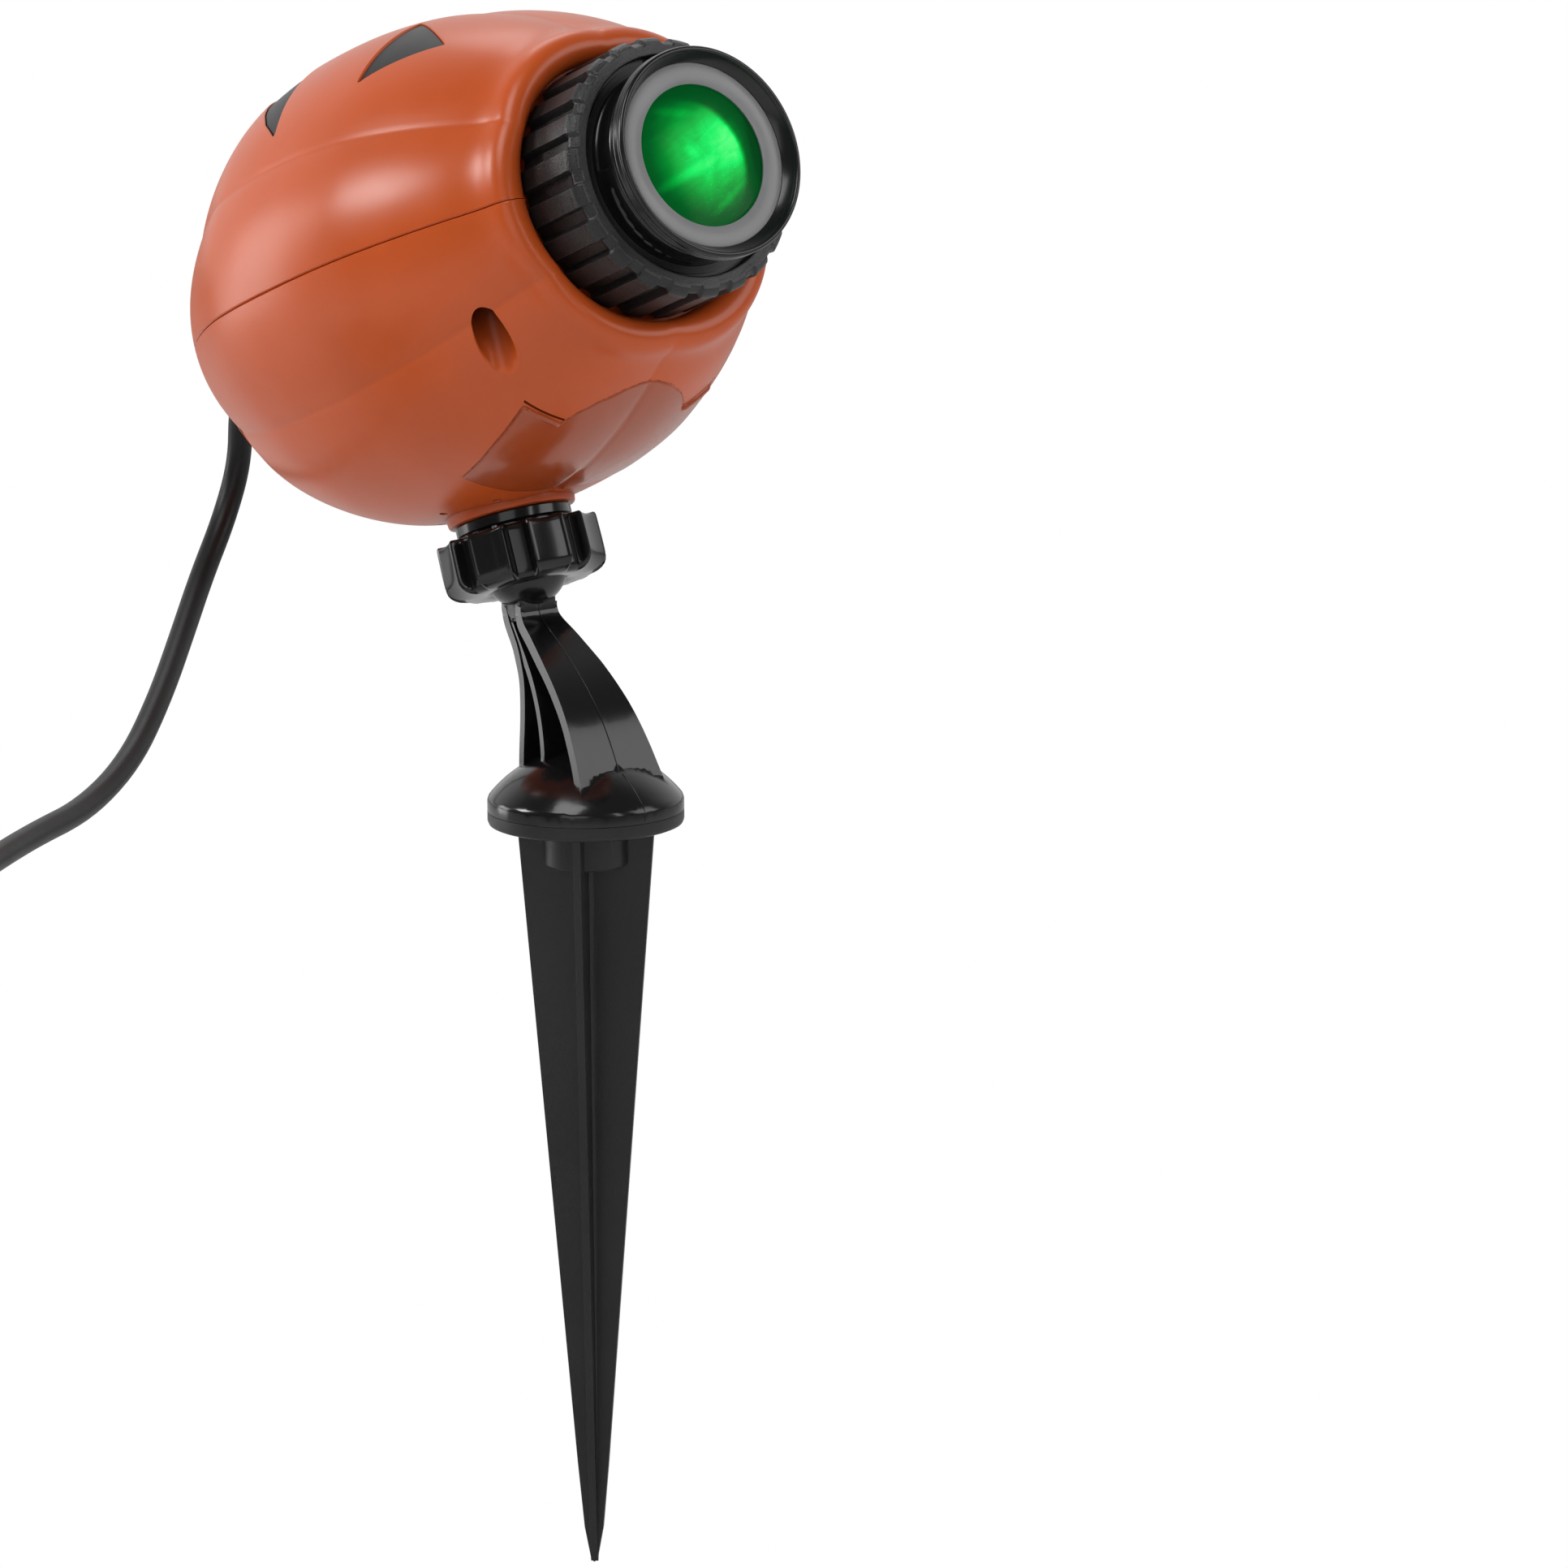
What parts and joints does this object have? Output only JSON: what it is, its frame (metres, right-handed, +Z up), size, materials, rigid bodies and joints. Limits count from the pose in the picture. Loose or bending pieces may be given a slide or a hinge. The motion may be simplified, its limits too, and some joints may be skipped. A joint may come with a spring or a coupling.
{
  "type": "light projector stake",
  "caption": "Garden light projector with a ribbed pumpkin-shaped head, carved face, focusing lens and ball-jointed bracket on a four-finned ground stake, with a coiled supply cord.",
  "frame": {"origin": "on the stake's axis at the underside of its round flange, which is the soil line when the stake is in the ground", "axes": "+Z up along the stake; the lens looks towards -Y and tips upwards; +X completes the frame"},
  "size_m": [0.3318, 0.2272, 0.4013],
  "materials": {
    "black_satin": "satin, fine-grained black plastic",
    "black_gloss": "polished black plastic",
    "black_textured": "spark-eroded black plastic with worn rib edges",
    "black_face": "satin black plastic",
    "orange": "satin orange plastic",
    "orange_gloss": "polished orange plastic",
    "grey_ring": "matte grey",
    "green_glass": "clear lens lit green from behind",
    "clear_glass": "clear",
    "slide_glass": "clear slide with a printed pattern",
    "led_green": "encapsulated diode",
    "circuit_board": "solder mask",
    "component": "potted parts",
    "aluminium": "extruded",
    "steel": "zinc plated",
    "brass": "plain",
    "cord": "smooth black jacket"
  },
  "bodies": {
    "stake": {"ground_stake": "black_satin"},
    "bracket": {"bracket": "black_gloss"},
    "head": {"top_shell": "orange", "bottom_shell": "orange", "bottom_cover": "orange_gloss", "left_eye_inlay": "black_face", "right_eye_inlay": "black_face", "nose_inlay": "black_face", "mouth_inlay": "black_face", "housing_screws": "steel", "ball_socket": "black_gloss", "socket_screws": "steel", "guide_tube": "black_satin", "ring_retainer": "steel", "lamp_tube": "black_satin", "slide_holder": "black_satin", "pattern_slide": "slide_glass", "condenser_holder": "black_satin", "condenser_lens": "clear_glass", "led_board": "circuit_board", "green_led": "led_green", "heat_sink": "aluminium", "heat_sink_screws": "steel", "driver_board": "circuit_board", "driver_components": "component", "board_screws": "steel", "cord_clamp": "black_satin", "clamp_screws": "steel", "cord_inner_end": "cord", "lead_wires": "cord", "led_wires": "cord", "cord_tube": "cord", "cord_coil": "cord", "cord_tie": "black_satin", "plug_body": "cord", "plug_pins": "brass"},
    "nut": {"clamp_nut": "black_gloss"},
    "focus": {"focus_ring": "black_textured"},
    "barrel": {"lens_barrel": "black_gloss", "lens_retaining_ring": "grey_ring", "front_lens": "green_glass", "lens_spacer": "black_satin", "rear_lens": "clear_glass", "rear_lens_ring": "black_satin"}
  },
  "joints": [
    {"name": "bracket_pan", "type": "hinge", "parent": "stake", "child": "bracket", "pos_m": [0, 0, 0.0037], "axis": [0, 0, 1], "range_deg": [-180, 180]},
    {"name": "head_tilt", "type": "hinge", "parent": "bracket", "child": "head", "pos_m": [0, 0.02522, 0.06347], "axis": [-1, 0, 0], "range_deg": [-42, 18]},
    {"name": "nut_turn", "type": "hinge", "parent": "head", "child": "nut", "pos_m": [0, 0.02558, 0.0644], "axis": [0, -0.3672, -0.9302], "range_deg": [-330, 0]},
    {"name": "focus_turn", "type": "hinge", "parent": "head", "child": "focus", "pos_m": [0, -0.03152, 0.16757], "axis": [0, -0.9302, 0.3672], "range_deg": [-100, 140]},
    {"name": "barrel_travel", "type": "slide", "parent": "head", "child": "barrel", "axis": [0, 0.9302, -0.3672], "range_m": [-0.0032, 0.0044]}
  ],
  "couplings": [
    {"joint": "barrel_travel", "follows": "focus_turn", "m_per_rad": 0.0017}
  ]
}
